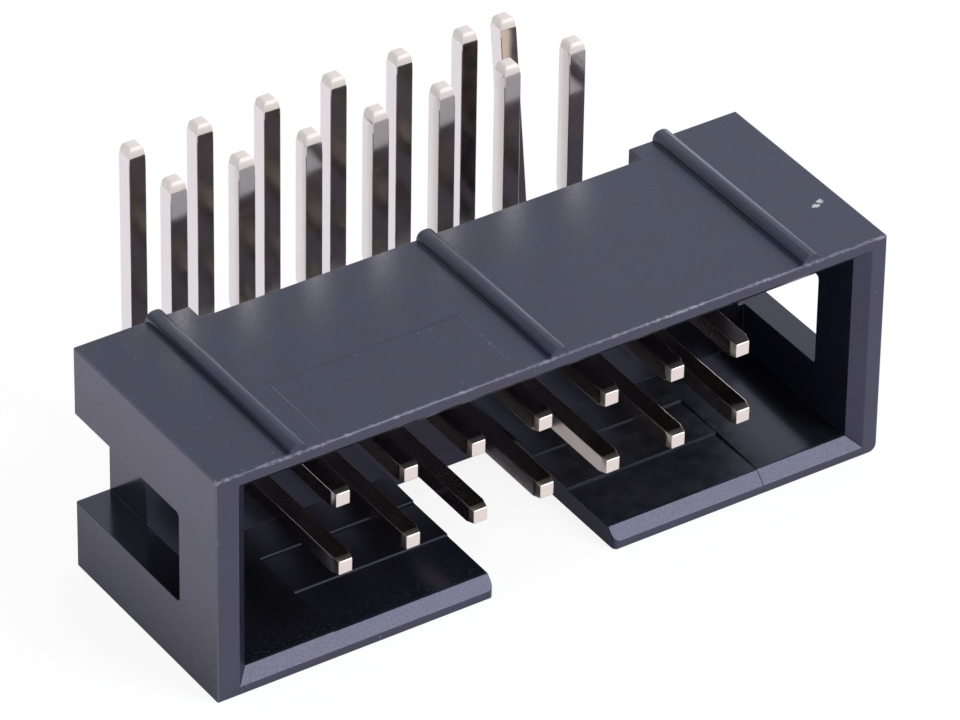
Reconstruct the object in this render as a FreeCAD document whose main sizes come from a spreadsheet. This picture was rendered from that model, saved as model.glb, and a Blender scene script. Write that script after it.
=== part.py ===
import FreeCAD, Part
import os
import Sketcher

# Right-angle box header for a flat cable socket: one moulded housing and two rows of
# bent square pins. It lies on its keyed wall, with the solder tails pointing up and
# the mouth facing -Y. All sizes are in millimetres.

# Driving dimensions
SIZES = {
    # contact grid
    "pitch": 2.54,
    "pins_per_row": 7,
    "row_spacing": 2.54,
    "tail_row_spacing": 2.54,
    # housing shell
    "end_reach": 5.08,              # from the last pin's axis to the end face
    "row_to_face": 3.015,           # from a row's axis to the outer face beside it
    "end_wall": 1.14,
    "long_wall": 0.93,              # both long walls where they leave the base
    "board_wall_at_rim": 0.81,      # the mould's draft thins them towards the mouth
    "keyed_wall_at_rim": 0.735,
    "core_shift": 0.12,             # the mould's core sat a little towards +X
    "base_depth": 2.3,              # the wall that holds the pins
    "cavity_depth": 6.28,
    "edge_break": 0.04,             # narrow bevel on every outer edge
    "keyed_corner_radius": 0.3,     # one long lower edge is rounder than the rest
    # lead-in round the mouth
    "lead_in_depth": 0.41,
    "lead_in_at_ends": 0.45,
    "lead_in_at_walls": 0.41,
    # slots in the end walls, open at the rear
    "slot_height": 3.46,
    "slot_front_margin": 2.25,
    "slot_corner_radius": 0.15,
    # polarising notch in the keyed wall
    "key_width": 4.64,
    "key_overrun": 0.47,            # how far it runs on under the base
    "key_corner_radius": 0.22,
    # recess across the rear, behind the pins
    "recess_depth": 0.75,
    "recess_margin": 0.82,
    # stand-off ribs on the board side
    "rib_count": 3,
    "rib_width": 0.66,
    "rib_height": 0.32,
    "rib_flat": 0.1,
    "rib_inset": 3.0,               # from the end face to the outer rib's axis
    # two shallow steps left by the mould's core in the keyed wall's inner face
    "step_margin": 0.55,
    "first_step_setback": 1.52,     # from the base's front
    "first_step_wall": 0.81,        # what it leaves of the keyed wall
    "second_step_setback": 3.53,
    "second_step_wall": 0.735,
    # pins
    "pin_side": 0.64,
    "pin_clearance": 0.01,
    "bend_radius": 0.5,
    "front_tail_setback": 2.18,     # from the rear face to the front tails' axis
    "short_tip_setback": 0.69,      # from the mouth's rim back to the mating tip
    "long_tip_setback": 0.53,
    "mating_tip_side": 0.5,
    "mating_tip_taper": 0.36,
    "tail_tip_side": 0.4,
    "tail_crown_side": 0.54,        # the tip turns blunter above this section
    "tail_crown_height": 0.1,
    "tail_tip_taper": 0.42,
    "short_tail_reach": 3.03,       # from the rib crests to the tail's tip
    "long_tail_reach": 2.9,
    # the last long pin was knocked sideways
    "bent_sway": 0.45,              # at the bend, where its horizontal leg ends
    "bent_lean": 0.58,              # further, from the bend to the tip's taper
}

doc = FreeCAD.newDocument("idc_box_header")
sheet = doc.addObject("Spreadsheet::Sheet", "sizes")
for row, (alias, value) in enumerate(SIZES.items(), start=1):
    sheet.set("A%d" % row, alias)
    sheet.set("B%d" % row, str(value))
    sheet.setAlias("B%d" % row, alias)
doc.recompute()

# Lengths that several features share, worked out from the sheet
HALF_LENGTH = "((sizes.pins_per_row - 1) * sizes.pitch / 2 + sizes.end_reach)"
HALF_HEIGHT = "(sizes.row_spacing / 2 + sizes.row_to_face)"
DEPTH = "(sizes.base_depth + sizes.cavity_depth)"
CAVITY_HALF_LENGTH = "(%s - sizes.end_wall)" % HALF_LENGTH
SLOT_FLOOR = "(%s - sizes.core_shift)" % CAVITY_HALF_LENGTH
RIB_CREST = "(%s + sizes.rib_height)" % HALF_HEIGHT
HOLE_HALF_SIDE = "(sizes.pin_side / 2 + sizes.pin_clearance)"
FRONT_TAIL = "sizes.front_tail_setback"
REAR_TAIL = "(sizes.front_tail_setback + sizes.tail_row_spacing)"
# The origin lies under the middle of the whole part, between the mouth and the rear tails
REAR_FACE = "((%s - %s - sizes.pin_side / 2) / 2)" % (DEPTH, REAR_TAIL)

# Two places this near each other count as one, and a rib's rounded shoulders take up no
# more than this share of its height
SAME_PLACE = 1e-4
SHOULDER_SHARE = 0.95


def number(expression):
    """The value that an expression on the sheet has now."""
    return float(sheet.evalExpression(expression))


# Sketches

def add_sketch(body, name, role, offset="0"):
    """A sketch parallel to one of the body's own origin planes.

    The offset runs along the plane's normal: -Y for XZ_Plane, +Z for XY_Plane.
    """
    plane = next(each for each in body.Origin.OriginFeatures if each.Role == role)
    sketch = body.newObject("Sketcher::SketchObject", name)
    sketch.AttachmentSupport = (plane, [""])
    sketch.MapMode = "FlatFace"
    sketch.setExpression("AttachmentOffset.Base.z", offset)
    return sketch


def tie_point(sketch, line, end, across, up):
    """Fix one end of a line by two expressions, measured from the sketch's origin."""
    for kind, expression in (("DistanceX", across), ("DistanceY", up)):
        held = Sketcher.Constraint(kind, -1, 1, line, end, number(expression))
        index = sketch.addConstraint(held)
        sketch.setExpression("Constraints[%d]" % index, expression)


def draw_polygon(sketch, corners):
    """A closed outline whose corners are pairs of expressions."""
    first = sketch.GeometryCount
    points = [FreeCAD.Vector(number(across), number(up), 0) for across, up in corners]
    for index, point in enumerate(points):
        following = points[(index + 1) % len(points)]
        sketch.addGeometry(Part.LineSegment(point, following), False)
    for index, (across, up) in enumerate(corners):
        before = first + (index - 1) % len(corners)
        sketch.addConstraint(Sketcher.Constraint("Coincident", before, 2, first + index, 1))
        tie_point(sketch, first + index, 1, across, up)


def draw_rectangle(sketch, left, right, bottom, top):
    draw_polygon(sketch, [(left, bottom), (right, bottom), (right, top), (left, top)])


def draw_centred(sketch, half_width, half_height):
    draw_rectangle(sketch, "-" + half_width, half_width, "-" + half_height, half_height)


# Features

def add_pad(body, name, sketch, length):
    pad = body.newObject("PartDesign::Pad", name)
    pad.Profile = sketch
    pad.setExpression("Length", length)
    doc.recompute()
    return pad


def add_pocket(body, name, sketch, length, along_normal=False):
    """A cut of stated depth, which must take material away."""
    before = body.Shape.Volume
    pocket = body.newObject("PartDesign::Pocket", name)
    pocket.Profile = sketch
    pocket.setExpression("Length", length)
    pocket.Reversed = along_normal
    doc.recompute()
    if pocket.Shape.Volume >= before:
        raise RuntimeError(name + " cuts nothing")
    return pocket


def add_row(body, name, feature, step, count):
    """Repeat a feature along the sketch's horizontal axis."""
    pattern = body.newObject("PartDesign::LinearPattern", name)
    pattern.Originals = [feature]
    pattern.Direction = (feature.Profile[0], ["H_Axis"])
    pattern.setExpression("Occurrences", count)
    pattern.setExpression("Length", "%s * (%s - 1)" % (step, count))
    body.Tip = pattern
    doc.recompute()


def dress_edges(body, kind, name, size, wanted):
    """Fillet or chamfer the edges of the body so far for which wanted(edge) is true."""
    base = body.Tip
    edges = ["Edge%d" % index for index, edge in enumerate(base.Shape.Edges, start=1) if wanted(edge)]
    dressing = body.newObject("PartDesign::" + kind, name)
    dressing.Base = (base, edges)
    dressing.setExpression("Radius" if kind == "Fillet" else "Size", size)
    doc.recompute()


def near(value, expression):
    return abs(value - number(expression)) < SAME_PLACE


def runs_along(edge, axis):
    """Whether an edge is straight and parallel to X (0), Y (1) or Z (2)."""
    ends = [vertex.Point for vertex in edge.Vertexes]
    if len(ends) != 2:
        return False
    apart = ends[1] - ends[0]
    return abs(abs(apart[axis]) - edge.Length) < SAME_PLACE


# Housing

def is_keyed_corner(edge):
    middle = edge.CenterOfMass
    at_end = near(middle.x, HALF_LENGTH) and near(middle.z, "-" + HALF_HEIGHT)
    return runs_along(edge, 1) and at_end


def is_rib_shoulder(edge):
    return runs_along(edge, 1) and near(edge.CenterOfMass.z, RIB_CREST)


def is_key_corner(edge):
    middle = edge.CenterOfMass
    at_notch = near(abs(middle.x), "sizes.key_width / 2") and near(middle.y, "-" + DEPTH)
    return runs_along(edge, 2) and at_notch


def is_slot_corner(edge):
    middle = edge.CenterOfMass
    at_front = near(middle.y, "sizes.slot_front_margin - " + DEPTH)
    return runs_along(edge, 0) and at_front and near(abs(middle.z), "sizes.slot_height / 2")


def is_block_edge(edge):
    """The block's own outline, without the short arcs of its rounder corner."""
    return any(runs_along(edge, axis) for axis in range(3)) and not touches_keyed_corner(edge)


def touches_keyed_corner(edge):
    """The two lines along Y where the rounder corner runs out into its faces."""
    middle = edge.CenterOfMass
    beside = near(middle.x, HALF_LENGTH + " - sizes.keyed_corner_radius")
    above = near(middle.z, "sizes.keyed_corner_radius - " + HALF_HEIGHT)
    return runs_along(edge, 1) and (beside or above)


def make_block(body):
    outline = add_sketch(body, "block_outline", "XZ_Plane")
    draw_centred(outline, HALF_LENGTH, HALF_HEIGHT)
    add_pad(body, "block", outline, DEPTH)
    dress_edges(body, "Fillet", "keyed_corner", "sizes.keyed_corner_radius", is_keyed_corner)
    dress_edges(body, "Chamfer", "block_edges", "sizes.edge_break", is_block_edge)


def make_ribs(body):
    """Three half-round ribs that hold the housing off the board."""
    outer_axis = "(%s - sizes.rib_inset)" % HALF_LENGTH
    section = add_sketch(body, "rib_section", "XZ_Plane")
    left = "-%s - sizes.rib_width / 2" % outer_axis
    right = "-%s + sizes.rib_width / 2" % outer_axis
    draw_rectangle(section, left, right, HALF_HEIGHT + " - sizes.edge_break", RIB_CREST)
    rib = add_pad(body, "rib", section, DEPTH)
    add_row(body, "ribs", rib, "2 * %s / (sizes.rib_count - 1)" % outer_axis, "sizes.rib_count")
    widest = "%s * sizes.rib_height" % SHOULDER_SHARE
    shoulder = "min((sizes.rib_width - sizes.rib_flat) / 2; %s)" % widest
    dress_edges(body, "Fillet", "rib_shoulders", shoulder, is_rib_shoulder)


def draw_mouth(body, name, setback, widened="0", raised="0"):
    """The mouth's outline at a distance behind the rim, which the lead-in makes larger."""
    sketch = add_sketch(body, name, "XZ_Plane", "%s - %s" % (DEPTH, setback))
    half_length = "(%s + %s)" % (CAVITY_HALF_LENGTH, widened)
    thinning = "(1 - %s / sizes.cavity_depth) * (sizes.%%s - sizes.long_wall)" % setback
    keyed_wall = "(sizes.long_wall + %s - %s)" % (thinning % "keyed_wall_at_rim", raised)
    board_wall = "(sizes.long_wall + %s - %s)" % (thinning % "board_wall_at_rim", raised)
    draw_rectangle(sketch, "sizes.core_shift - " + half_length, "sizes.core_shift + " + half_length,
                   "%s - %s" % (keyed_wall, HALF_HEIGHT), "%s - %s" % (HALF_HEIGHT, board_wall))
    return sketch


def cut_between(body, name, first, second):
    """Take away a straight-sided plug between two outlines."""
    loft = body.newObject("PartDesign::SubtractiveLoft", name)
    loft.Profile = first
    loft.Sections = [second]
    loft.Ruled = True
    doc.recompute()


def make_cavity(body):
    """The core that leaves the cavity tapers, so that the moulding lets it go."""
    rim = draw_mouth(body, "cavity_rim", "0")
    floor = draw_mouth(body, "cavity_floor", "sizes.cavity_depth")
    cut_between(body, "cavity", rim, floor)


def make_key_notch(body):
    outline = add_sketch(body, "key_outline", "XZ_Plane", DEPTH)
    half = "sizes.key_width / 2"
    below = "-%s - sizes.long_wall" % HALF_HEIGHT
    above = "sizes.long_wall - " + HALF_HEIGHT
    draw_rectangle(outline, "-" + half, half, below, above)
    add_pocket(body, "key_notch", outline, "sizes.cavity_depth + sizes.key_overrun")
    dress_edges(body, "Fillet", "key_corners", "sizes.key_corner_radius", is_key_corner)


def make_lead_in(body):
    """The sloping rim that guides the socket into the mouth."""
    rim = draw_mouth(body, "lead_in_rim", "0", "sizes.lead_in_at_ends", "sizes.lead_in_at_walls")
    throat = draw_mouth(body, "lead_in_throat", "sizes.lead_in_depth")
    cut_between(body, "lead_in", rim, throat)


def make_end_slots(body):
    """Slots through both end walls, which bare the ends of the base."""
    outline = add_sketch(body, "slot_outline", "XZ_Plane")
    half = "sizes.slot_height / 2"
    beyond = "(%s + sizes.end_wall)" % HALF_LENGTH
    draw_rectangle(outline, "-" + beyond, "-" + SLOT_FLOOR, "-" + half, half)
    draw_rectangle(outline, SLOT_FLOOR, beyond, "-" + half, half)
    add_pocket(body, "end_slots", outline, DEPTH + " - sizes.slot_front_margin", along_normal=True)
    dress_edges(body, "Fillet", "slot_corners", "sizes.slot_corner_radius", is_slot_corner)


def make_rear_recess(body):
    """The rear face steps forward behind the pins and leaves a block at each end."""
    outline = add_sketch(body, "recess_outline", "XZ_Plane")
    half_width = "((sizes.pins_per_row - 1) * sizes.pitch / 2 + sizes.recess_margin)"
    draw_centred(outline, half_width, "(%s + sizes.rib_height)" % RIB_CREST)
    add_pocket(body, "rear_recess", outline, "sizes.recess_depth", along_normal=True)


def make_core_steps(body):
    """The keyed wall's inner face drops twice towards the mouth."""
    half_width = "((sizes.pins_per_row - 1) * sizes.pitch / 2 + sizes.step_margin)"
    for step in ("first_step", "second_step"):
        outline = add_sketch(body, step + "_outline", "XZ_Plane", DEPTH)
        below = "sizes.%s_wall - %s" % (step, HALF_HEIGHT)
        above = "sizes.long_wall - " + HALF_HEIGHT
        draw_rectangle(outline, "-" + half_width, half_width, below, above)
        add_pocket(body, step, outline, "sizes.cavity_depth - sizes.%s_setback" % step)


def make_pin_holes(body):
    """One square hole for each pin, from the base's rear to its front."""
    outline = add_sketch(body, "hole_outline", "XZ_Plane")
    first = "-(sizes.pins_per_row - 1) * sizes.pitch / 2"
    left = "%s - %s" % (first, HOLE_HALF_SIDE)
    right = "%s + %s" % (first, HOLE_HALF_SIDE)
    for row_axis in ("-sizes.row_spacing / 2", "sizes.row_spacing / 2"):
        bottom = "%s - %s" % (row_axis, HOLE_HALF_SIDE)
        top = "%s + %s" % (row_axis, HOLE_HALF_SIDE)
        draw_rectangle(outline, left, right, bottom, top)
    holes = add_pocket(body, "first_holes", outline, "sizes.base_depth", along_normal=True)
    add_row(body, "pin_holes", holes, "sizes.pitch", "sizes.pins_per_row")


def place(body, across, up):
    """Put a body into the part's own frame."""
    body.setExpression("Placement.Base.x", across)
    body.setExpression("Placement.Base.y", REAR_FACE)
    body.setExpression("Placement.Base.z", up)


def make_housing():
    body = doc.addObject("PartDesign::Body", "housing")
    body.Label = "housing"
    make_block(body)
    make_ribs(body)
    make_cavity(body)
    make_key_notch(body)
    make_lead_in(body)
    make_end_slots(body)
    make_rear_recess(body)
    make_core_steps(body)
    make_pin_holes(body)
    place(body, "0", HALF_HEIGHT)
    return body


# Pins

def add_square(body, name, role, offset, side="sizes.pin_side", across="0", up="0"):
    """A square section of a pin, centred where the pin's axis passes."""
    sketch = add_sketch(body, name, role, offset)
    half = "%s / 2" % side
    left = "%s - %s" % (across, half)
    right = "%s + %s" % (across, half)
    draw_rectangle(sketch, left, right, "%s - %s" % (up, half), "%s + %s" % (up, half))
    return sketch


def add_run(body, name, sections):
    """A straight-sided run of pin through its square sections."""
    loft = body.newObject("PartDesign::AdditiveLoft", name)
    loft.Profile = sections[0]
    loft.Sections = sections[1:]
    loft.Ruled = True
    doc.recompute()


def add_bend(body, sketch, up):
    """Turn the horizontal leg up through a right angle."""
    height = number(up)
    line = Part.LineSegment(FreeCAD.Vector(-1, height, 0), FreeCAD.Vector(1, height, 0))
    axis = sketch.addGeometry(line, True)
    tie_point(sketch, axis, 1, "-sizes.pin_side", up)
    tie_point(sketch, axis, 2, "sizes.pin_side", up)
    bend = body.newObject("PartDesign::Revolution", "bend")
    bend.Profile = sketch
    bend.ReferenceAxis = (sketch, ["Axis0"])
    bend.Angle = 90
    doc.recompute()


def make_pin(name, index, row_axis, tip_setback, tail, tail_reach, sway="0", lean="0"):
    """One pin: mating leg, right-angle bend and solder tail.

    Its own frame has the pin's axis at x = 0 and z = 0, and the housing's rear at y = 0.
    """
    body = doc.addObject("PartDesign::Body", name)
    body.Label = name
    tip = "%s - %s" % (DEPTH, tip_setback)
    rise = "(sizes.bend_radius + sizes.pin_side / 2)"
    at_bend = "-(%s)" % sway
    at_tip = "-(%s + %s)" % (sway, lean)
    top = "%s + %s - %s" % (RIB_CREST, tail_reach, row_axis)

    tip_end = add_square(body, "tip_end", "XZ_Plane", tip, "sizes.mating_tip_side")
    tip_root = add_square(body, "tip_root", "XZ_Plane", tip + " - sizes.mating_tip_taper")
    base_exit = add_square(body, "base_exit", "XZ_Plane", "sizes.recess_depth")
    bend_start = add_square(body, "bend_start", "XZ_Plane", "%s - %s" % (rise, tail), across=at_bend)
    add_run(body, "mating_leg", [tip_end, tip_root, base_exit, bend_start])
    add_bend(body, bend_start, rise)

    taper_start = top + " - sizes.tail_tip_taper"
    crown_start = top + " - sizes.tail_crown_height"
    bend_end = add_square(body, "bend_end", "XY_Plane", rise, across=at_bend, up=tail)
    taper = add_square(body, "taper", "XY_Plane", taper_start, across=at_tip, up=tail)
    crown = add_square(body, "crown", "XY_Plane", crown_start, "sizes.tail_crown_side", at_tip, tail)
    tail_end = add_square(body, "tail_end", "XY_Plane", top, "sizes.tail_tip_side", at_tip, tail)
    add_run(body, "solder_tail", [bend_end, taper, crown, tail_end])

    column = "(%d - (sizes.pins_per_row - 1) / 2) * sizes.pitch" % index
    place(body, column, "%s + %s" % (HALF_HEIGHT, row_axis))
    return body


def make_pins():
    """Short pins on the board side, long ones beside the keyed wall."""
    count = int(SIZES["pins_per_row"])
    board_row = "sizes.row_spacing / 2"
    keyed_row = "(-sizes.row_spacing / 2)"
    pins = []
    for index in range(count):
        name = "short_pin_%d" % (index + 1)
        pins.append(make_pin(name, index, board_row, "sizes.short_tip_setback", FRONT_TAIL,
                             "sizes.short_tail_reach"))
    for index in range(count):
        name = "long_pin_%d" % (index + 1)
        is_bent = index == count - 1
        sway = "sizes.bent_sway" if is_bent else "0"
        lean = "sizes.bent_lean" if is_bent else "0"
        pins.append(make_pin(name, index, keyed_row, "sizes.long_tip_setback", REAR_TAIL,
                             "sizes.long_tail_reach", sway, lean))
    return pins


# Build, check and export

pieces = [make_housing()] + make_pins()
doc.recompute()

for item in doc.Objects:
    if "Invalid" in item.State or "Error" in item.State:
        raise RuntimeError("%s failed: %s" % (item.Label, item.State))
for piece in pieces:
    if piece.Shape.isNull() or not piece.Shape.isValid() or len(piece.Shape.Solids) != 1:
        raise RuntimeError(piece.Label + " is not one valid solid")

os.makedirs("parts", exist_ok=True)
for piece in pieces:
    piece.Shape.exportStep("parts/%s.step" % piece.Label)
    box = piece.Shape.BoundBox
    spans = (box.XMin, box.XMax, box.YMin, box.YMax, box.ZMin, box.ZMax)
    print("%-12s %8.3f mm3" % (piece.Label, piece.Shape.Volume), end="")
    print(", X %.2f to %.2f, Y %.2f to %.2f, Z %.2f to %.2f" % spans)
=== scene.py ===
# %% [markdown]
# # A right-angle box header, dressed for a product picture
#
# The object is a black moulded socket for a flat cable, with fourteen bent, plated pins.
# The frame already holds the housing and every pin at real size. This notebook adds what
# a frame can't hold: softened edges, the grain and gloss of the plastic, the bright
# plating, small marks from the mould and from handling, and a light tent to stand it in.

# %% Load the frame
import math

import bpy
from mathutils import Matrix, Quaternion, Vector


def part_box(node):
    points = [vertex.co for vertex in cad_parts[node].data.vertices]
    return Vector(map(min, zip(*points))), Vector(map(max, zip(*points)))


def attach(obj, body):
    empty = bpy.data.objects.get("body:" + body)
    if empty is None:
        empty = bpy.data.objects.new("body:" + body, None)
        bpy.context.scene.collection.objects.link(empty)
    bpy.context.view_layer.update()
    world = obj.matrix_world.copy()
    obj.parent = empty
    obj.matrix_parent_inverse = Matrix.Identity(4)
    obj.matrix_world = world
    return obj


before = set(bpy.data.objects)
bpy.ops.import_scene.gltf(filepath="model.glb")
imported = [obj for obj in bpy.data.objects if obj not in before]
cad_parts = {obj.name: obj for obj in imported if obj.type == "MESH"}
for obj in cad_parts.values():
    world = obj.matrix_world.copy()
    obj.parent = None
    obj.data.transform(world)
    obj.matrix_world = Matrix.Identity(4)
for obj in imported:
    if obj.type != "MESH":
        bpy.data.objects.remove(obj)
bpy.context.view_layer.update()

MM = 0.001      # the frame is in metres, and this part is easier to think of in millimetres


def in_mm(corner):
    """A point of the frame in rounded millimetres, for printing."""
    return tuple(round(value / MM, 2) for value in corner)


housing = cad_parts["housing"]
pins = [node for name, node in sorted(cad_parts.items()) if "pin" in name]

# %% [markdown]
# ## The camera
#
# Small parts are photographed with a long lens from far away, so that parallel edges stay
# nearly parallel. A camera can be set by a place and a rotation, but it is easier to keep
# what a photographer would say: the point it aims at, how far round and how high it
# stands, its distance and its lens. The rotation then follows from those.

# %% Camera
AIM = Vector((0.645, -1.335, 4.901)) * MM
ROUND = math.radians(33.82)         # to the left of the mouth
HEIGHT = math.radians(35.31)        # above the bench
ROLL = math.radians(0.95)
DISTANCE = 247.4 * MM
SENSOR = 36
LENS = 287.7
SEES_FROM = 10 * MM
SEES_TO = 10

level = Vector((-math.sin(ROUND), -math.cos(ROUND), 0))
back = level * math.cos(HEIGHT) + Vector((0, 0, math.sin(HEIGHT)))
camera = bpy.data.objects.new("camera", bpy.data.cameras.new("camera"))
bpy.context.scene.collection.objects.link(camera)
camera.rotation_mode = "QUATERNION"
camera.location = AIM + back * DISTANCE
camera.rotation_quaternion = back.to_track_quat("Z", "Y") @ Quaternion((0, 0, 1), ROLL)
camera.data.sensor_width = SENSOR
camera.data.lens = LENS
camera.data.clip_start = SEES_FROM
camera.data.clip_end = SEES_TO
bpy.context.scene.camera = camera
print("camera at", in_mm(camera.location), "mm")

# %% [markdown]
# ## Helpers for shaders
#
# A material is a small network of nodes. Written out node by node it hides what it does,
# so one helper adds a node with its settings and inputs in one call, and a few more do
# sums on numbers.

# %% Nodes and sums
def add(tree, kind, inputs=None, **settings):
    """Add a node; an input given as another node's output is wired, any other is set."""
    node = tree.nodes.new(kind)
    for setting, value in settings.items():
        setattr(node, setting, value)
    for socket, value in (inputs or {}).items():
        if isinstance(value, bpy.types.NodeSocket):
            tree.links.new(value, node.inputs[socket])
        else:
            node.inputs[socket].default_value = value
    return node


def sums(tree, operation, *values):
    """The result of a Math node on up to three numbers or outputs."""
    return add(tree, "ShaderNodeMath", dict(enumerate(values)), operation=operation).outputs[0]


def times(tree, *values):
    """All the values multiplied together."""
    product = values[0]
    for value in values[1:]:
        product = sums(tree, "MULTIPLY", product, value)
    return product


def largest(tree, *values):
    """The largest of the values."""
    found = values[0]
    for value in values[1:]:
        found = sums(tree, "MAXIMUM", found, value)
    return found


print("nodes and sums ready")

# %% [markdown]
# ## Soft limits, places and colours
#
# Marks on a surface begin and end softly. A ramp turns any value into such a soft step,
# and two ramps make a band. Places are kept in millimetres, in the part's own frame, so
# that the marks stay on the part wherever it moves.

# %% Ramps, places and colours
def ramp(tree, value, start, end, first=0.0, last=1.0):
    """A value that goes smoothly from first to last while the input goes from start to end."""
    inputs = {"Value": value, "From Min": start, "From Max": end, "To Min": first, "To Max": last}
    node = add(tree, "ShaderNodeMapRange", inputs, interpolation_type="SMOOTHSTEP")
    return node.outputs["Result"]


def between(tree, value, start, end, blur):
    """1 while a value lies between two limits, and 0 outside, with soft ends."""
    risen = ramp(tree, value, start - blur, start + blur)
    fallen = ramp(tree, value, end - blur, end + blur, 1.0, 0.0)
    return times(tree, risen, fallen)


def vector_sums(tree, operation, vector, other):
    """A Vector Math node on a vector and another one."""
    return add(tree, "ShaderNodeVectorMath", {0: vector, 1: other}, operation=operation).outputs


def parts_of(tree, vector):
    """A vector's X, Y and Z."""
    return list(add(tree, "ShaderNodeSeparateXYZ", {0: vector}).outputs)


def millimetres(tree):
    """Where a point of the surface lies in the part's own frame, in millimetres."""
    place = add(tree, "ShaderNodeTexCoord").outputs["Object"]
    scaled = add(tree, "ShaderNodeVectorMath", {0: place, "Scale": 1 / MM}, operation="SCALE")
    return scaled.outputs[0]


def noise(tree, place, scale, detail=2.0, roughness=0.5):
    """Soft random variation, with scale in features per millimetre."""
    inputs = {"Vector": place, "Scale": scale, "Detail": detail, "Roughness": roughness}
    return add(tree, "ShaderNodeTexNoise", inputs).outputs["Fac"]


def blend(tree, share, first, last):
    """One colour at a share of 0, and the other at a share of 1."""
    mix = add(tree, "ShaderNodeMix", {0: share, 6: first, 7: last}, data_type="RGBA")
    return mix.outputs[2]


print("ramps, places and colours ready")

# %% [markdown]
# ## The bench
#
# Catalogue pictures of shiny connectors are taken in a white tent: pale walls all round,
# a pale bench, and one large soft lamp. Black plastic and bright tin show little colour
# of their own and mostly mirror what is around them, so the tent matters as much as the
# materials. The bench could be lit until it turns white, but that light would reach the
# part too. So it has its own colour, plus some glow that only the camera and mirror-like
# surfaces see.
#
# Mirrors see the bench a little violet. They also see it darker in two places: far off on
# the dim side, and in the shade below the housing, which the pins mirror through the key
# notch.

# %% Bench
BENCH_SIZE = 4.0
BENCH_GREY = (0.8, 0.8, 0.8, 1)
BENCH_GLOW = 0.87
BENCH_ALL = 1.05        # glow and lit colour together, where nothing shades the bench
BENCH_SEEN = (1, 1, 1, 1)
BENCH_MIRRORED = (0.99, 0.95, 1.08, 1)
DIM_SIDE = Vector((-0.70, 0.68, 0.05)).normalized()      # behind and to the left
DIM_TO = 0.1
BENCH_FADES = (30 * MM, 120 * MM)       # how far off its dim side begins and ends to fade
UNDER_ACROSS = (-12.7 * MM, 12.7 * MM)
UNDER_ALONG = (-6.8 * MM, 1.8 * MM)
UNDER_BLUR = 1 * MM
UNDER_TO = 0.4


def seen_directly(tree):
    """1 for rays from the camera, a mirror or a clear piece, and 0 for the rest."""
    ray = add(tree, "ShaderNodeLightPath").outputs
    return largest(tree, ray["Is Camera Ray"], ray["Is Glossy Ray"], ray["Is Transmission Ray"])


def bench_glow(tree):
    """The bench's glow, tinted and shaded for mirrors alone."""
    mirrored = add(tree, "ShaderNodeLightPath").outputs["Is Glossy Ray"]
    spot = add(tree, "ShaderNodeNewGeometry").outputs["Position"]
    behind = vector_sums(tree, "DOT_PRODUCT", spot, DIM_SIDE)["Value"]
    fading = times(tree, mirrored, ramp(tree, behind, *BENCH_FADES, 0.0, 1 - DIM_TO))
    across, along, _ = parts_of(tree, spot)
    under = times(tree, mirrored, between(tree, across, *UNDER_ACROSS, UNDER_BLUR),
                  between(tree, along, *UNDER_ALONG, UNDER_BLUR))
    shaded = ramp(tree, under, 0, 1, 1.0, UNDER_TO)
    strength = times(tree, BENCH_GLOW, sums(tree, "SUBTRACT", 1.0, fading), shaded)
    tint = blend(tree, mirrored, BENCH_SEEN, BENCH_MIRRORED)
    return add(tree, "ShaderNodeEmission", {"Color": tint, "Strength": strength}).outputs[0]


def make_bench():
    bpy.ops.mesh.primitive_plane_add(size=BENCH_SIZE)
    bench = bpy.context.object
    bench.name = "bench"
    material = bpy.data.materials.new("bench_white")
    material.use_nodes = True
    tree = material.node_tree
    tree.nodes.clear()
    plain = add(tree, "ShaderNodeBsdfDiffuse", {"Color": BENCH_GREY}).outputs[0]
    share = BENCH_ALL - BENCH_GLOW
    faint = add(tree, "ShaderNodeBsdfDiffuse", {"Color": (share, share, share, 1)}).outputs[0]
    white = add(tree, "ShaderNodeAddShader", {0: faint, 1: bench_glow(tree)}).outputs[0]
    mixed = add(tree, "ShaderNodeMixShader", {0: seen_directly(tree), 1: plain, 2: white})
    add(tree, "ShaderNodeOutputMaterial", {"Surface": mixed.outputs[0]})
    bench.data.materials.append(material)
    return bench


bench = make_bench()
print("bench", BENCH_SIZE, "m square, at height", bench.location.z)

# %% [markdown]
# ## The tent's walls
#
# The walls could be sheets of cloth round the part, but the world's background does the
# same without a mesh. An even tent would make every rounded edge look alike, so what
# mirrors see isn't even: behind and to the left the walls are dim low down, which draws
# the dark line along the foot of each rib, and behind and to the right a bright seam
# draws the light line on its other side. The camera still sees a plain white tent from
# any side.

# %% Tent walls
TENT_LIGHT = 0.75       # what dull surfaces get, against 1 for the camera and for mirrors
TENT_WHITE = (0.88, 0.88, 0.88, 1)
TENT_MIRRORED = (0.77, 0.845, 0.90, 1)
DIM_EDGE, DIM_MIDDLE = 0.82, 0.98       # cosines of the angle from the dim side's middle
SEAM = Vector((0.72, 0.67, 0.12)).normalized()           # behind and to the right
SEAM_EDGE, SEAM_MIDDLE = 0.92, 0.985
SEAM_LIGHT = 1.9


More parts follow.
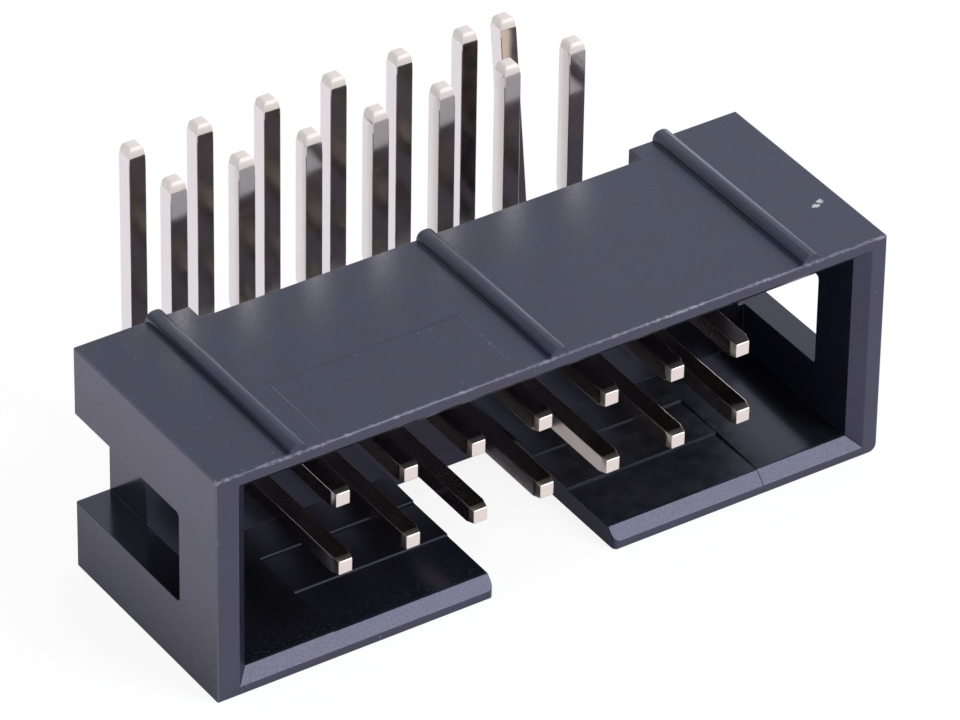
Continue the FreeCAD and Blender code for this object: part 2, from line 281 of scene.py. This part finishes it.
def make_tent():
    world = bpy.data.worlds.new("tent")
    bpy.context.scene.world = world
    world.use_nodes = True
    tree = world.node_tree
    tree.nodes.clear()
    towards = add(tree, "ShaderNodeTexCoord").outputs["Generated"]
    to_dim_side = vector_sums(tree, "DOT_PRODUCT", towards, DIM_SIDE)["Value"]
    to_seam = vector_sums(tree, "DOT_PRODUCT", towards, SEAM)["Value"]
    dimming = ramp(tree, to_dim_side, DIM_EDGE, DIM_MIDDLE, 0.0, DIM_TO - 1)
    seam = ramp(tree, to_seam, SEAM_EDGE, SEAM_MIDDLE, 0.0, SEAM_LIGHT)
    even = ramp(tree, seen_directly(tree), 0, 1, TENT_LIGHT, 1.0)
    mirrored = add(tree, "ShaderNodeLightPath").outputs["Is Glossy Ray"]
    level = sums(tree, "MULTIPLY_ADD", mirrored, sums(tree, "ADD", dimming, seam), even)
    white = blend(tree, mirrored, TENT_WHITE, TENT_MIRRORED)
    tent = add(tree, "ShaderNodeBackground", {"Color": white, "Strength": level}).outputs[0]
    add(tree, "ShaderNodeOutputWorld", {"Surface": tent})
    return world


world = make_tent()
bpy.context.scene.view_settings.view_transform = "Standard"
print("tent walls of", len(world.node_tree.nodes), "nodes")

# %% [markdown]
# ## One soft lamp
#
# The lamp stands in front of the mouth and to the right, about as high as the camera. The
# plated tails mirror it down onto the plastic, and the sloping lip of the mouth catches
# it. A large lamp close by gives soft shadows, and its light is slightly cool. Its power
# could be typed in as watts, but it is worked out from the brightness that its face
# should have, so that a lamp of another size keeps that brightness.

# %% Lamp
LAMP_AWAY = 0.5
LAMP_WIDTH = 0.25
LAMP_TALL = 0.36
LAMP_BRIGHTNESS = 4.6
LAMP_COLOUR = (0.94, 0.99, 1.0)
towards_lamp = Vector((0.454, -0.678, 0.578)).normalized()


def make_lamp():
    light = bpy.data.lights.new("softbox", "AREA")
    light.shape = "RECTANGLE"
    light.size = LAMP_WIDTH
    light.size_y = LAMP_TALL
    light.energy = math.pi * LAMP_WIDTH * LAMP_TALL * LAMP_BRIGHTNESS
    light.color = LAMP_COLOUR
    lamp = bpy.data.objects.new("softbox", light)
    bpy.context.scene.collection.objects.link(lamp)
    lamp.location = towards_lamp * LAMP_AWAY
    lamp.rotation_mode = "QUATERNION"
    lamp.rotation_quaternion = towards_lamp.to_track_quat("Z", "Y")
    return lamp


lamp = make_lamp()
print("lamp of", round(lamp.data.energy, 2), "W at", in_mm(lamp.location), "mm")

# %% [markdown]
# ## Softened edges
#
# A moulded or stamped edge is never perfectly sharp, and the thin line of light along it
# is what tells the eye how large a thing is. The frame's solids have crisp edges. Moving
# their points isn't allowed, and isn't needed: a stack of modifiers joins the split
# corners, merges the flat facets, rolls every sharp edge over by a few hundredths of a
# millimetre and then leans the shading towards the large faces.

# %% Edge softening
SAME_CORNER = 0.001 * MM
SAME_FLAT = math.radians(0.5)
HOUSING_EDGE = 0.02 * MM
HOUSING_STRIPS = 2                      # how many strips a rolled edge is made of
HOUSING_SHARP = math.radians(30)        # edges that turn by more than this are rolled
PIN_EDGE = 0.03 * MM
PIN_STRIPS = 3
PIN_SHARP = math.radians(25)
TOWARDS_LARGE = 100


def smooth_faces():
    """A modifier group that shades every face smoothly."""
    group = bpy.data.node_groups.new("smooth_faces", "GeometryNodeTree")
    group.interface.new_socket("Geometry", in_out="INPUT", socket_type="NodeSocketGeometry")
    group.interface.new_socket("Geometry", in_out="OUTPUT", socket_type="NodeSocketGeometry")
    start = add(group, "NodeGroupInput").outputs[0]
    smooth = add(group, "GeometryNodeSetShadeSmooth", {0: start}).outputs[0]
    add(group, "NodeGroupOutput", {0: smooth})
    return group


def soften(node, width, segments, sharper_than):
    weld = node.modifiers.new("join_corners", "WELD")
    weld.merge_threshold = SAME_CORNER
    merge = node.modifiers.new("merge_flats", "DECIMATE")
    merge.decimate_type = "DISSOLVE"
    merge.angle_limit = SAME_FLAT
    bevel = node.modifiers.new("roll_edges", "BEVEL")
    bevel.width = width
    bevel.segments = segments
    bevel.limit_method = "ANGLE"
    bevel.angle_limit = sharper_than
    bevel.use_clamp_overlap = False
    bevel.miter_outer = "MITER_ARC"
    shade = node.modifiers.new("smooth", "NODES")
    shade.node_group = faces_smooth
    lean = node.modifiers.new("flat_faces_flat", "WEIGHTED_NORMAL")
    lean.weight = TOWARDS_LARGE


faces_smooth = smooth_faces()
soften(housing, HOUSING_EDGE, HOUSING_STRIPS, HOUSING_SHARP)
for pin in pins:
    soften(pin, PIN_EDGE, PIN_STRIPS, PIN_SHARP)
print("edges rolled on", 1 + len(pins), "pieces")

# %% [markdown]
# ## Where the plastic is polished
#
# The housing is black nylon filled with glass. The mould's outside was spark-eroded, so
# the skin is satin with a fine grain, while the core that made the cavity, the base's
# ends and the end slots was polished. Two materials could be given to two sets of faces,
# but the faces belong to the frame. One material does both instead: it looks at where a
# point lies and which way it faces. Such a rule is a product of soft limits, each of
# them 1 on the one side and 0 on the other.

# %% Polished places
RIB_HEIGHT = 0.32
low, high = (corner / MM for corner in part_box("housing"))
TOP = high.z - RIB_HEIGHT               # the board side's own height, without its ribs
CAVITY_ACROSS = (low.x + 1.05, high.x - 1.05)       # limits that lie within the walls
CAVITY_ALONG = (low.y + 0.5, high.y - 0.1)
CAVITY_UP = (low.z + 0.7, high.z - 1.2)
SLOT_ALONG = (-4.7, 1.6)
SLOT_UP = (2.5, 6.07)


def polished(tree, place, facing):
    """1 on the faces that the polished core made, and 0 on the satin outside."""
    across, along, up = parts_of(tree, place)
    cavity = times(tree, between(tree, across, *CAVITY_ACROSS, 0.05),
                   between(tree, up, *CAVITY_UP, 0.1), between(tree, along, *CAVITY_ALONG, 0.05))
    sideways = sums(tree, "ABSOLUTE", parts_of(tree, facing)[0])
    slots = times(tree, between(tree, up, *SLOT_UP, 0.03), between(tree, along, *SLOT_ALONG, 0.05),
                  ramp(tree, sideways, 0.9, 0.5))
    return largest(tree, cavity, slots)


print("board side at", round(TOP, 2), "mm, slots from", *SLOT_UP, "mm up")

# %% [markdown]
# ## Worn edges, painted highlights and pale specks
#
# Sharp outer edges scuff pale, and the lip over the mouth is rubbed most, because sockets
# knock against it. The pale edges and the rubbed lip are also painted highlights, for the
# light that their rounding catches, and the front rim face is painted a little paler as a
# painted sheen. Each edge could be painted by its place, but one rule finds them
# together: an edge is where two of the block's faces meet, so a point's second smallest
# distance to the faces is its distance from an edge. The rear face isn't counted, so the
# edges there stay as moulded. Noise breaks the rubbing into patches, and the highest
# peaks of another noise leave a few pale specks.

# %% Wear and painted highlights
WORN_AND_HIGHLIT_EDGE = (0.06, 0.03)        # how near an edge wear and its painted highlight begin and are full
RUBBED_AND_HIGHLIT_EDGE = (0.12, 0.04)
SHEEN_ON_RIM = (low.y + 0.04, low.y + 0.02)
LIP_ALONG = (low.y + 0.2, low.y + 0.1)
LIP_UP = (TOP - 0.15, TOP + 0.06)
BELOW_RIBS = (TOP + 0.04, TOP + 0.01)
PATCHES = (0.42, 0.58)          # values of the fine noise where a patch begins and is full
CALMER = (0.35, 0.6)            # the same for the broad noise, which leaves stretches calmer
PEAKS = (0.84, 0.87)
EDGE_WEAR_AND_HIGHLIGHT = 0.45                # shares of the scuffed and highlit colour
RIM_SHEEN = 0.05
SPECK_WEAR = 0.45


def from_edge(tree, across, along, up):
    """How far a point lies from the nearest outer edge of the block, but for its rear."""
    to_end = sums(tree, "SUBTRACT", high.x, sums(tree, "ABSOLUTE", across))
    to_rim = sums(tree, "SUBTRACT", along, low.y)
    to_wall = sums(tree, "MINIMUM", up, sums(tree, "SUBTRACT", TOP, up))
    smaller = sums(tree, "MINIMUM", to_end, to_rim)
    larger = sums(tree, "MAXIMUM", to_end, to_rim)
    return sums(tree, "MAXIMUM", smaller, sums(tree, "MINIMUM", larger, to_wall))


def wear_and_highlights(tree, place, inside):
    """How far the plastic turns pale: scuffs, specks, painted edge highlights and a painted rim
    sheen.
    """
    across, along, up = parts_of(tree, place)
    edge = from_edge(tree, across, along, up)
    below_ribs = ramp(tree, up, *BELOW_RIBS)
    # painted highlight: the pale band along the outer edges is partly wear and partly light caught
    # by their rounding
    edge_wear_and_highlight = times(tree, ramp(tree, edge, *WORN_AND_HIGHLIT_EDGE, 0.0, EDGE_WEAR_AND_HIGHLIGHT), below_ribs)
    # painted sheen: the front rim face is painted a little paler
    painted_rim_sheen = times(tree, ramp(tree, along, *SHEEN_ON_RIM, 0.0, RIM_SHEEN), below_ribs)
    patches = times(tree, ramp(tree, noise(tree, place, 5.0, 4.0, 0.7), *PATCHES),
                    ramp(tree, noise(tree, place, 0.9, 1.0), *CALMER, 0.5, 1.0))
    at_lip = times(tree, between(tree, up, *LIP_UP, 0.04), ramp(tree, along, *LIP_ALONG))
    # the rubbed lip is partly a painted highlight along its edge
    rubbed_and_highlit = times(tree, ramp(tree, edge, *RUBBED_AND_HIGHLIT_EDGE), patches, at_lip)
    peaks = ramp(tree, noise(tree, place, 7.0, 0.0), *PEAKS)
    specks = times(tree, peaks, ramp(tree, inside, 0, 1, SPECK_WEAR, 0))
    return largest(tree, rubbed_and_highlit, painted_rim_sheen, edge_wear_and_highlight, specks)


print("wear within", WORN_AND_HIGHLIT_EDGE[0], "mm of an edge, rubbed within", RUBBED_AND_HIGHLIT_EDGE[0], "mm at the lip")

# %% [markdown]
# ## Dust, painted sheen and a nick
#
# Sockets have scraped the cavity's floor, mostly on the right, and crumbs lie near its
# front. Both stay on faces that look up. The scraped smears are also a painted sheen: they
# are paler where the floor mirrors light. The board side has one pale nick, made of two
# spots. A spot could be cut into the mesh, but at a quarter of a millimetre only its
# colour shows: it is the distance from a point, which noise makes ragged.

# %% Dust and nick
NICK = ((11.71, -4.21), (11.96, -4.05))
NICK_EDGE = (0.19, 0.13)        # how near a spot its pale colour begins and is full
NICK_RAGGED = 0.1
LOOKS_UP = (0.6, 0.9)
SCRAPED_AND_SHEEN_LEFT = (-1.0, 4.0)      # where the scraping and its painted sheen begin and are full, from the left
SCRAPED_AND_SHEEN_RIGHT = (10.5, 8.5)     # and from the right
CRUMBS_ALONG = (low.y + 2.2, low.y + 0.6)
CRUMBS = (0.55, 0.7)            # values of the noise where a crumb begins and is full


def dust_and_sheen_on_floor(tree, place, facing, inside):
    """How dusty the cavity's floor is, with a painted sheen in the smears."""
    across, along, _ = parts_of(tree, place)
    floor = times(tree, inside, ramp(tree, parts_of(tree, facing)[2], *LOOKS_UP))
    # painted sheen: the smears, strongest on the right, are paler for light the floor mirrors,
    # besides real scraping
    smears_and_sheen = times(tree, ramp(tree, noise(tree, place, 1.6, 5.0, 0.65), 0.35, 0.65, 0.3, 1.0),
                   ramp(tree, across, *SCRAPED_AND_SHEEN_LEFT, 0.05, 0.9),
                   ramp(tree, across, *SCRAPED_AND_SHEEN_RIGHT, 0.1, 1.0))
    crumbs = times(tree, ramp(tree, noise(tree, place, 9.0, 1.0), *CRUMBS),
                   ramp(tree, along, *CRUMBS_ALONG, 0.0, 0.8))
    return times(tree, floor, largest(tree, smears_and_sheen, crumbs))


def nicked(tree, place):
    """1 in the nick's two ragged spots, and 0 outside."""
    away = [vector_sums(tree, "DISTANCE", place, (x, y, TOP))["Value"] for x, y in NICK]
    ragged = ramp(tree, noise(tree, place, 7.0, 1.5), 0.3, 0.7, 0.0, NICK_RAGGED)
    return ramp(tree, sums(tree, "ADD", sums(tree, "MINIMUM", *away), ragged), *NICK_EDGE)


print("nick at", *NICK, "mm")

# %% [markdown]
# ## How strongly the plastic mirrors
#
# The index of refraction sets how strongly a surface mirrors. It could be one number, but
# two places differ. Faces that look left mirror the part's own shade on the bench, so
# they are made duller low down and clearer high up. And the joint beside the core's two
# steps runs on across the mouth's sloping lead-in, low on the right, as a thin dirty line
# that mirrors less. The lead-in is told from the flat faces by its direction, because it
# looks partly out of the mouth and partly into it.

# %% Mirroring
NYLON_INDEX = 1.58
LOOKS_LEFT = (-0.7, -0.95)
HIGH_UP = (5.0, 8.5)
LOW_DOWN = (5.0, 0.3)
CLEARER = 0.16          # added to the index high up on faces that look left
DULLER = -0.3           # and low down
JOINT_AT = 8.17         # how far out the core steps in the keyed wall reach
JOINT_HALF = 0.02
JOINT_UP = (1.2, 1.0)   # gone above the first height, and there below the second
JOINT_DIRTY = (0.9, 0.6)
JOINT_INDEX = -0.3


def slopes(tree, facing):
    """1 on the sloping lead-in, and 0 on flat faces."""
    _, forwards, _ = parts_of(tree, facing)
    return times(tree, ramp(tree, forwards, -0.5, -0.6), ramp(tree, forwards, -0.9, -0.8))


def joint_line(tree, place, facing):
    """1 in the dirty joint line across the lead-in."""
    across, _, up = parts_of(tree, place)
    line = between(tree, across, JOINT_AT - JOINT_HALF, JOINT_AT + JOINT_HALF, 0.015)
    dirty = ramp(tree, up, *JOINT_DIRTY, 0.3, 1.0)
    return times(tree, line, slopes(tree, facing), dirty, ramp(tree, up, *JOINT_UP))


def index_of(tree, place, facing):
    """The index of refraction at a point."""
    _, _, up = parts_of(tree, place)
    sideways, _, _ = parts_of(tree, facing)
    change = sums(tree, "ADD", ramp(tree, up, *HIGH_UP, 0.0, CLEARER),
                  ramp(tree, up, *LOW_DOWN, 0.0, DULLER))
    index = sums(tree, "MULTIPLY_ADD", ramp(tree, sideways, *LOOKS_LEFT), change, NYLON_INDEX)
    return sums(tree, "MULTIPLY_ADD", joint_line(tree, place, facing), JOINT_INDEX, index)


print("index of refraction", NYLON_INDEX, "and less by", -JOINT_INDEX, "in the joint line")

# %% [markdown]
# ## The plastic
#
# Black plastic is never one black. Soft clouds drift it between a warm and a cool tone,
# the polished inside is deeper, partly from its polish and partly from painted shade in the
# cavity and slots, and dust with a painted sheen, scuffs with painted highlights, and the
# nick are laid over it in turn.
# The grain roughens the gloss and makes the surface look dented by a few thousandths of a
# millimetre. It fades on what the polished core made.

# %% Plastic
WARM_NYLON = (0.014, 0.012, 0.024, 1)
COOL_NYLON = (0.010, 0.015, 0.032, 1)
POLISHED_SHADED_NYLON = (0.007, 0.007, 0.011, 1)
DUST_AND_SHEEN_NYLON = (0.030, 0.031, 0.038, 1)
SCUFFED_AND_HIGHLIT = (0.19, 0.20, 0.24, 1)
CHIPPED = (0.55, 0.55, 0.58, 1)
SATIN = (0.26, 0.36)            # roughness, lowest and highest in the grain
RIBS_DULLER = 0.05
RIBS_UP = (TOP + 0.02, TOP + 0.06)
POLISHED = 0.16
DUST_DULLER = 0.1
GRAIN_DEEP = 0.003 * MM
POLISHED_GRAIN = 0.15           # share of the grain's depth that is left
SLOPE_POLISH = 0.7
MIRROR_TINT = (0.95, 0.90, 1.2, 1)


def new_material(name):
    material = bpy.data.materials.new(name)
    material.use_nodes = True
    return material, material.node_tree, material.node_tree.nodes["Principled BSDF"]


def dent(tree, shader, height, depth):
    """Make the surface look raised by a height from 0 to 1, times a depth."""
    bump = add(tree, "ShaderNodeBump", {"Height": height, "Distance": depth, "Strength": 1.0})
    tree.links.new(bump.outputs["Normal"], shader.inputs["Normal"])


def make_plastic():
    material, tree, shader = new_material("glass_filled_nylon")
    place = millimetres(tree)
    facing = add(tree, "ShaderNodeNewGeometry").outputs["Normal"]
    inside = polished(tree, place, facing)
    dust_and_sheen = dust_and_sheen_on_floor(tree, place, facing, inside)
    grain = noise(tree, place, 16.0, 2.0, 0.6)

    clouds = ramp(tree, noise(tree, place, 0.8, 3.0), 0.35, 0.65)
    # painted shade: the inside's darker colour stands partly for the shade in the cavity and slots
    colour = blend(tree, inside, blend(tree, clouds, WARM_NYLON, COOL_NYLON), POLISHED_SHADED_NYLON)
    # dust on the floor, with the painted sheen of the smears
    colour = blend(tree, dust_and_sheen, colour, DUST_AND_SHEEN_NYLON)
    # scuffs and specks, with painted highlights on the edges and a painted sheen on the rim
    colour = blend(tree, wear_and_highlights(tree, place, inside), colour, SCUFFED_AND_HIGHLIT)
    colour = blend(tree, nicked(tree, place), colour, CHIPPED)
    tree.links.new(colour, shader.inputs["Base Color"])

    _, _, up = parts_of(tree, place)
    satin = sums(tree, "ADD", ramp(tree, grain, 0.3, 0.7, *SATIN),
                 ramp(tree, up, *RIBS_UP, 0.0, RIBS_DULLER))
    gloss = add(tree, "ShaderNodeMix", {0: inside, 2: satin, 3: POLISHED}).outputs[0]
    tree.links.new(sums(tree, "MULTIPLY_ADD", dust_and_sheen, DUST_DULLER, gloss), shader.inputs["Roughness"])
    tree.links.new(index_of(tree, place, facing), shader.inputs["IOR"])
    shader.inputs["Specular Tint"].default_value = MIRROR_TINT

    fine = largest(tree, inside, times(tree, slopes(tree, facing), SLOPE_POLISH))
    height = times(tree, grain, ramp(tree, fine, 0.0, 1.0, 1.0, POLISHED_GRAIN))
    dent(tree, shader, height, GRAIN_DEEP)
    return material


plastic = make_plastic()
housing.data.materials[0] = plastic
print("plastic of", len(plastic.node_tree.nodes), "nodes on the housing")

# %% [markdown]
# ## The pins
#
# The pins are square brass wire, plated with bright tin and then cut and bent. The long
# faces are smooth enough to mirror the bench and the black housing, with faint lines
# along the wire from drawing it, and a thin brownish film that shows only where they
# mirror something dark. They are painted warmer in the mouth and on the faces that look
# forward and back, as a painted reflection tint for what those faces mirror.
#
# Both ends are pressed to a taper. In the mouth that only dulls the taper's faces. The
# tips of the tails are duller and paler still, because the shear tears the plating. Their
# faces that look sideways are painted paler and the others darker, as lit and shaded
# copies of the torn tin. They are told from the long faces by height and by direction.

# %% Plating colours
TIN = (0.745, 0.725, 0.68, 1)
WARM_REFLECTION_TIN = (0.77, 0.70, 0.61, 1)
TORN_SHADED = (0.84, 0.76, 0.73, 1)
TORN_LIT = (0.97, 0.91, 0.88, 1)
FILM = (0.66, 0.44, 0.31, 1)
TIPS_FROM = 11.2        # height at which the tails' tapered tips begin
TAPER_TO = low.y + 1.5  # how far back the tapers in the mouth reach


def torn_tips(tree, place, facing):
    """1 on the tails' tapers and ends, and 0 on the long faces."""
    _, _, up = parts_of(tree, place)
    on_side = largest(tree, facing[0], facing[1])
    tipped = ramp(tree, up, TIPS_FROM - 0.05, TIPS_FROM + 0.05)
    return times(tree, ramp(tree, on_side, 0.998, 0.994), tipped)


def tin_colour(tree, place, facing, torn):
    _, along, _ = parts_of(tree, place)
    # painted reflection tint: warmer tin in the mouth and on the faces that look forward and back
    warm_reflection = largest(tree, ramp(tree, facing[1], 0.7, 0.95), ramp(tree, along, 0.5, -0.5))
    # painted light: sideways faces of the torn tips get the lit colour, the others the shaded one
    torn_lit_and_shaded = blend(tree, ramp(tree, facing[0], 0.5, 0.8), TORN_SHADED, TORN_LIT)
    return blend(tree, torn, blend(tree, warm_reflection, TIN, WARM_REFLECTION_TIN), torn_lit_and_shaded)


print("tin colours ready, tips from", TIPS_FROM, "mm up")

# %% [markdown]
# ## Drawn wire, roughness and film
#
# The lines from drawing run along the wire, which lies level in the mouth and stands up
# behind it. One noise is enough for both: it is stretched along Y or along Z, whichever
# way the wire runs. The film could be mixed into the tin's colour, but a tinted mirror
# stays dark where it mirrors something dark, and there the film shows. So it is a second,
# dull shader, with a share of a few hundredths.

# %% Plating
TAILS_FROM = 3.6        # the tails stand behind here, and the wire in front of it lies level
LEVEL_LINES = (6.0, 0.3, 6.0)
STANDING_LINES = (6.0, 6.0, 0.3)
LINES_DEEP = 0.001 * MM
BRIGHT = (0.1, 0.14)            # roughness, lowest and highest
TORN_DULL = 0.55
PRESSED_DULL = 0.3
TORN_METAL = 0.2
FILM_SHARE = (0.02, 0.04)
FILM_BELOW = 0.2                # how much of it is left below the tails' tips


def drawn_lines(tree, place):
    """Faint lines along the wire."""
    _, along, _ = parts_of(tree, place)
    standing = ramp(tree, along, TAILS_FROM - 0.1, TAILS_FROM)
    squeeze = add(tree, "ShaderNodeMix", {0: standing, 4: LEVEL_LINES, 5: STANDING_LINES},
                  data_type="VECTOR").outputs[1]
    return noise(tree, vector_sums(tree, "MULTIPLY", place, squeeze)["Vector"], 1.5, 2.0)


def make_plating():
    material, tree, shader = new_material("bright_tin")
    place = millimetres(tree)
    _, along, up = parts_of(tree, place)
    normal = add(tree, "ShaderNodeNewGeometry").outputs["Normal"]
    facing = [sums(tree, "ABSOLUTE", part) for part in parts_of(tree, normal)]
    torn = torn_tips(tree, place, facing)
    stain = noise(tree, place, 1.6, 3.0, 0.6)

    tree.links.new(tin_colour(tree, place, facing, torn), shader.inputs["Base Color"])
    pressed = times(tree, between(tree, facing[1], 0.1, 0.8, 0.05),
                    ramp(tree, along, TAPER_TO + 0.1, TAPER_TO))
    roughness = largest(tree, ramp(tree, stain, 0.3, 0.7, *BRIGHT), times(tree, torn, TORN_DULL),
                        times(tree, pressed, PRESSED_DULL))
    tree.links.new(roughness, shader.inputs["Roughness"])
    tree.links.new(ramp(tree, torn, 0.0, 1.0, 1.0, TORN_METAL), shader.inputs["Metallic"])
    dent(tree, shader, drawn_lines(tree, place), LINES_DEEP)

    film = add(tree, "ShaderNodeBsdfDiffuse", {"Color": FILM}).outputs[0]
    share = times(tree, ramp(tree, stain, 0.3, 0.7, *FILM_SHARE),
                  ramp(tree, up, high.z - 1.0, high.z, FILM_BELOW, 1.0))
    filmed = add(tree, "ShaderNodeMixShader", {0: share, 1: shader.outputs[0], 2: film})
    output = next(node for node in tree.nodes if node.type == "OUTPUT_MATERIAL")
    tree.links.new(filmed.outputs[0], output.inputs["Surface"])
    return material


plating = make_plating()
for pin in pins:
    pin.data.materials[0] = plating
print("tin on", len(pins), "pins")

# %% [markdown]
# ## The mould plate's line
#
# A mould often holds a small plate that can be exchanged. On the housing's board side all
# that shows of it is the fine ridge where plastic crept into the joint round it. The
# ridge could be a bump in the material, but real slopes catch the bright seam as the ribs
# do. It is a ring of three rails: the crest, and a foot on each side that is sunk a
# little into the face.

# %% Mould plate line
PLATE = (-8.55, -1.48, -6.2, -3.2)      # left, right, front and rear sides
LINE_HALF = 0.068
LINE_CREST = 0.011
LINE_FRONT_CREST = 0.003        # rubbed away along the front side
LINE_FOOT = 0.015


def rail(outward, front_lift, rear_lift):
    """One rail's four corners, so far outside the plate and above the board side."""
    left, right, front, rear = PLATE
    corners = ((left - outward, front - outward, front_lift),
               (right + outward, front - outward, front_lift),
               (right + outward, rear + outward, rear_lift),
               (left - outward, rear + outward, rear_lift))
    return [Vector((x, y, TOP + lift)) * MM for x, y, lift in corners]


def make_plate_line():
    points = rail(LINE_HALF, -LINE_FOOT, -LINE_FOOT)
    points += rail(0.0, LINE_FRONT_CREST, LINE_CREST)
    points += rail(-LINE_HALF, -LINE_FOOT, -LINE_FOOT)
    faces = []
    for number in range(3):
        here = number * 4
        there = (number + 1) % 3 * 4
        for corner in range(4):
            beside = (corner + 1) % 4
            faces.append((here + corner, here + beside, there + beside, there + corner))
    mesh = bpy.data.meshes.new("mould_plate_line")
    mesh.from_pydata(points, [], faces)
    mesh.materials.append(plastic)
    line = bpy.data.objects.new("mould_plate_line", mesh)
    bpy.context.scene.collection.objects.link(line)
    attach(line, "root")
    return line


plate_line = make_plate_line()
print("plate line of", len(plate_line.data.polygons), "faces on the board side")
